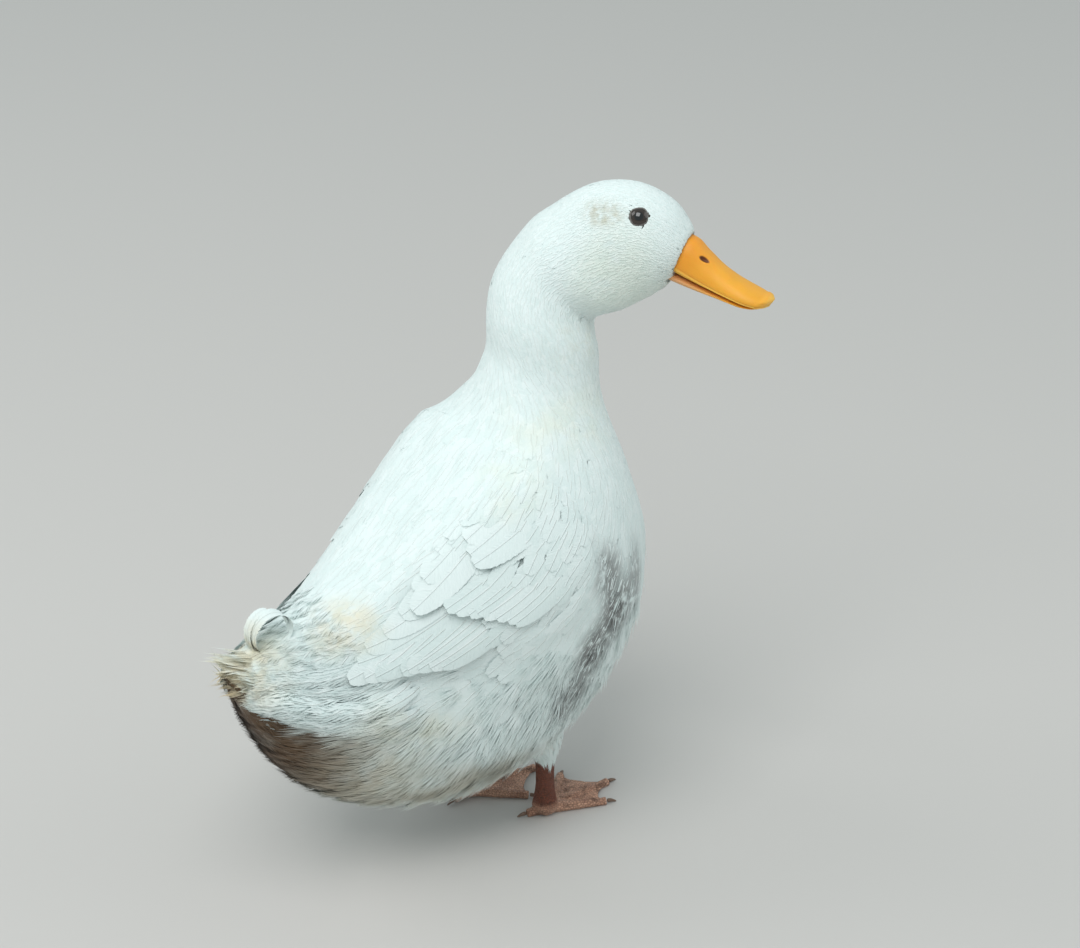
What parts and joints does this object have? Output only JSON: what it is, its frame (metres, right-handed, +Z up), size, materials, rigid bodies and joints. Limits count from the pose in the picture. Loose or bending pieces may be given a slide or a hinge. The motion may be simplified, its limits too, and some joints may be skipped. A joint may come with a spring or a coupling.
{
  "type": "duck",
  "caption": "White farm duck, a grown drake, standing upright with folded wings, webbed feet, a curled tail feather and its head turned to its right; a still, life-size model.",
  "frame": {"origin": "on the floor, under the middle of the bounding box", "axes": "+X the way the duck's body faces, +Y its left, +Z up"},
  "size_m": [0.3546, 0.2021, 0.4297],
  "materials": {
    "plumage": "soft",
    "flight": "soft",
    "tail": "soft",
    "bill": "satin",
    "leg": "matt",
    "claw": "satin",
    "eye": "gloss"
  },
  "bodies": {
    "root": {"rump": "plumage", "trunk": "plumage", "neck": "plumage", "head": "plumage", "thigh_right": "plumage", "thigh_left": "plumage", "wing_right": "flight", "wing_left": "flight", "tail": "tail", "tail_curl": "tail", "bill_upper": "bill", "bill_lower": "bill", "eye_right": "eye", "eye_left": "eye", "shank_right": "leg", "shank_left": "leg", "foot_right": "leg", "foot_left": "leg", "claw_inner_right": "claw", "claw_middle_right": "claw", "claw_outer_right": "claw", "claw_hind_right": "claw", "claw_inner_left": "claw", "claw_middle_left": "claw", "claw_outer_left": "claw", "claw_hind_left": "claw"}
  },
  "joints": []
}
